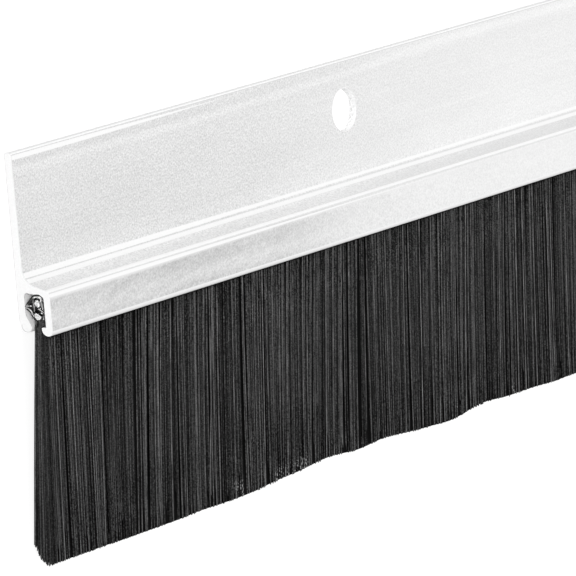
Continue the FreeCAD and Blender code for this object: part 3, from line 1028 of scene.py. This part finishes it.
# %% Where the flakes lie
# Tone and width in mm of each flake, and the places it is bent along, by depth and drop. The dark
# flakes are painted shade
dark, grey, bright = 0.015, 0.4, 0.97
flakes = (
    (dark, 0.2, ((2.6, 19.72), (3.2, 19.66), (3.75, 19.72), (4.28, 20.0))),
    (dark, 0.15, ((4.27, 20.0), (4.36, 20.8), (4.36, 21.7), (4.32, 22.6))),
    (dark, 0.17, ((2.66, 19.8), (2.1, 20.34), (1.55, 20.92), (1.24, 21.3))),
    (dark, 0.34, ((1.8, 20.95), (2.15, 20.72), (2.45, 20.45))),
    (dark, 0.2, ((1.85, 21.36), (2.33, 21.48), (2.7, 21.7))),
    (dark, 0.14, ((1.26, 21.58), (1.6, 21.74), (2.07, 22.0), (2.14, 22.4), (2.55, 22.85), (2.95, 23.1))),
    (grey, 0.26, ((1.36, 21.24), (1.6, 21.12), (1.84, 21.3))),
    (bright, 0.13, ((1.98, 21.24), (2.2, 21.18), (2.4, 21.22))),
    (bright, 0.09, ((1.66, 21.46), (2.1, 21.74), (2.32, 22.02), (2.36, 22.44))),
    (grey, 0.16, ((2.72, 20.05), (2.66, 20.8), (2.78, 21.4), (2.7, 22.0))),
    (bright, 0.13, ((2.82, 20.06), (3.1, 19.92), (3.45, 19.94))),
    (bright, 0.24, ((3.5, 19.92), (3.92, 20.02), (4.02, 20.36), (3.86, 20.6))),
    (grey, 0.3, ((4.02, 20.6), (4.1, 21.0), (4.12, 21.4))),
    (bright, 0.38, ((2.84, 20.86), (3.15, 20.84), (3.38, 20.62), (3.52, 20.36))),
    (bright, 0.22, ((3.1, 21.02), (3.2, 21.16))),
    (dark, 0.16, ((2.9, 21.36), (3.4, 21.73), (3.97, 22.18))),
    (bright, 0.08, ((3.44, 21.56), (3.94, 21.86), (4.28, 22.06))),
    (bright, 0.1, ((3.74, 21.6), (3.9, 21.44))),
    (bright, 0.55, ((2.86, 22.24), (3.1, 22.5), (3.45, 22.72), (3.8, 22.86))),
    (bright, 0.34, ((2.84, 22.6), (3.15, 22.92), (3.6, 23.02))),
    (bright, 0.14, ((3.84, 22.12), (4.12, 22.22))),
    (dark, 0.07, ((3.4, 22.34), (3.72, 22.48))),
    (dark, 0.1, ((2.72, 23.16), (3.32, 23.19), (4.02, 23.15))),
    (dark, 0.09, ((4.3, 22.5), (4.36, 23.1), (4.34, 23.6))),
)
print("flakes at each end:", len(flakes))

# %% Flakes of swarf
flake_thickness = 0.02 * MM
flake_step = 0.004 * MM
flake_columns, flake_rows = 10, 2
other_end_shift, flake_raggedness, flake_reach = 0.06, 0.022, 0.02
flake_taper, flake_width_range, flake_tone_range = 0.55, (0.8, 1.2), (0.75, 1.05)
torn_swarf_scale, torn_swarf_change, torn_swarf_level = 5200.0, 1.8, 0.95
swarf_metallic = 0.5


def point_along(path, run, along):
    return np.array([np.interp(along, run, path[:, axis]) for axis in (0, 1)])


def bent_flake(shape, index, tone, width, places, side, draw):
    """One flake in the end plane: side is -1 or 1, and each next flake lies a little further out."""
    grid = bmesh.ops.create_grid(shape, x_segments=flake_columns, y_segments=flake_rows, size=0.5)["verts"]
    path = np.array(places)
    run = np.concatenate(([0.0], np.cumsum(np.hypot(*np.diff(path, axis=0).T))))
    shift = draw.normal(0.0, other_end_shift, 2) if side > 0 else np.zeros(2)
    for vert in grid:
        along, across = (vert.co.x + 0.5) * run[-1], vert.co.y
        here = point_along(path, run, along)
        ahead, back = (point_along(path, run, along + reach) for reach in (flake_reach, -flake_reach))
        step = ahead - back
        lead = step / max(np.hypot(*step), 1e-6)
        taper = 1.0 - flake_taper * abs(2 * along / run[-1] - 1) ** 3
        aside = across * width * taper * draw.uniform(*flake_width_range)
        depth = here[0] - lead[1] * aside + draw.normal(0.0, flake_raggedness) + shift[0]
        drop = here[1] + lead[0] * aside + draw.normal(0.0, flake_raggedness) + shift[1]
        y, z = section_place(depth, drop)
        proud = (index + 2) * flake_step + draw.uniform(0.0, 1.0) * flake_step
        vert.co = (side * (half_length + proud), y, z)
        vert[shape.verts.layers.float["shade"]] = tone * draw.uniform(*flake_tone_range)
    faces = list({face for vert in grid for face in vert.link_faces})
    bmesh.ops.solidify(shape, geom=faces, thickness=flake_thickness)


def swarf_finish():
    mix = Mix("swarf_finish")
    torn = mix.noise(mix.position().place, torn_swarf_scale, roughness=0.6)
    change = mix.scaled(torn, torn_swarf_change, torn_swarf_level)
    tone = mix.maths("MULTIPLY", mix.own_shade(), change, clamp=True)
    return mix.surface(tone, mix.scaled(torn, 0.3, 0.5), metallic=swarf_metallic)


def swarf():
    shape = bmesh.new()
    shape.verts.layers.float.new("shade")
    draw = np.random.default_rng(31)
    for side in (-1, 1):
        for index, (tone, width, places) in enumerate(flakes):
            bent_flake(shape, index, tone, width, places, side, draw)
    return finished_mesh("sawn_swarf", shape, swarf_finish())


add_piece("sawn_swarf", swarf(), "galvanised_steel")

# %% [markdown]
# The stage. The strip lies on its back on a pale floor. Light enough to turn the floor white would
# burn out the aluminium, so the floor is a little self lit, for the camera and reflections alone.

# %% Floor
floor_half_size, floor_below = 6.0, 0.02 * MM
floor_grey, floor_glow = 0.24, 0.84

floor_mesh = bpy.data.meshes.new("floor")
shape = bmesh.new()
bmesh.ops.create_grid(shape, x_segments=1, y_segments=1, size=floor_half_size)
bmesh.ops.translate(shape, vec=(0.0, 0.0, -floor_below), verts=shape.verts)
shape.to_mesh(floor_mesh)
shape.free()
floor = bpy.data.objects.new("floor", floor_mesh)
bpy.context.scene.collection.objects.link(floor)

mix = Mix("floor_finish")
rays = mix.node("LightPath").outputs
seen = mix.maths("MAXIMUM", rays["Is Camera Ray"], rays["Is Glossy Ray"])
seen = mix.maths("MAXIMUM", seen, rays["Is Transmission Ray"])
glow = mix.node("Emission", Color=(1, 1, 1, 1), Strength=mix.times(seen, floor_glow))
paint = mix.node("BsdfDiffuse", Color=(floor_grey, floor_grey, floor_grey, 1))
both = mix.node("AddShader")
mix.put(both, 0, paint.outputs[0])
mix.put(both, 1, glow.outputs[0])
floor_mesh.materials.append(mix.finish(both))
print("floor of", 2 * floor_half_size, "m with grey", floor_grey, "and glow", floor_glow)

# %% [markdown]
# The lights. One large lamp would give the flat faces one tone. Three large, distant squares light
# the front and the sawn end, the top and the trimmed tips, and a small, near one lights the strip a
# little more away from its end.

# %% Lights
world_strength = 0.44
# Place and aim of each lamp in metres, the side of its square, and its power in watts
lamps = {
    "key": ((-0.2, -0.15, 0.32), (-0.317, 0.0, 0.0), 0.2, 0.33),
    "fill": ((-3.5, 0.5, 2.2), (-0.4, 0.0, 0.0), 1.5, 110.0),
    "top": ((-0.6, 4.0, 1.3), (-0.3, 0.0, 0.0), 1.5, 58.0),
    "low": ((-0.5, -3.2, 1.2), (-0.4, 0.0, 0.0), 1.5, 16.0),
}

world = bpy.data.worlds.new("studio")
world.use_nodes = True
bpy.context.scene.world = world
sky = world.node_tree.nodes["Background"].inputs
sky["Color"].default_value = (1, 1, 1, 1)
sky["Strength"].default_value = world_strength

for name, (place, aim, size, watts) in lamps.items():
    data = bpy.data.lights.new(name, "AREA")
    data.shape = "SQUARE"
    data.size = size
    data.energy = watts
    lamp = bpy.data.objects.new(name, data)
    lamp.location = place
    lamp.rotation_euler = (Vector(aim) - Vector(place)).to_track_quat("-Z", "Y").to_euler()
    lamp.visible_camera = False
    bpy.context.scene.collection.objects.link(lamp)
    print("lamp", name, "of", watts, "W")

bpy.context.scene.view_settings.view_transform = "Standard"

# %% [markdown]
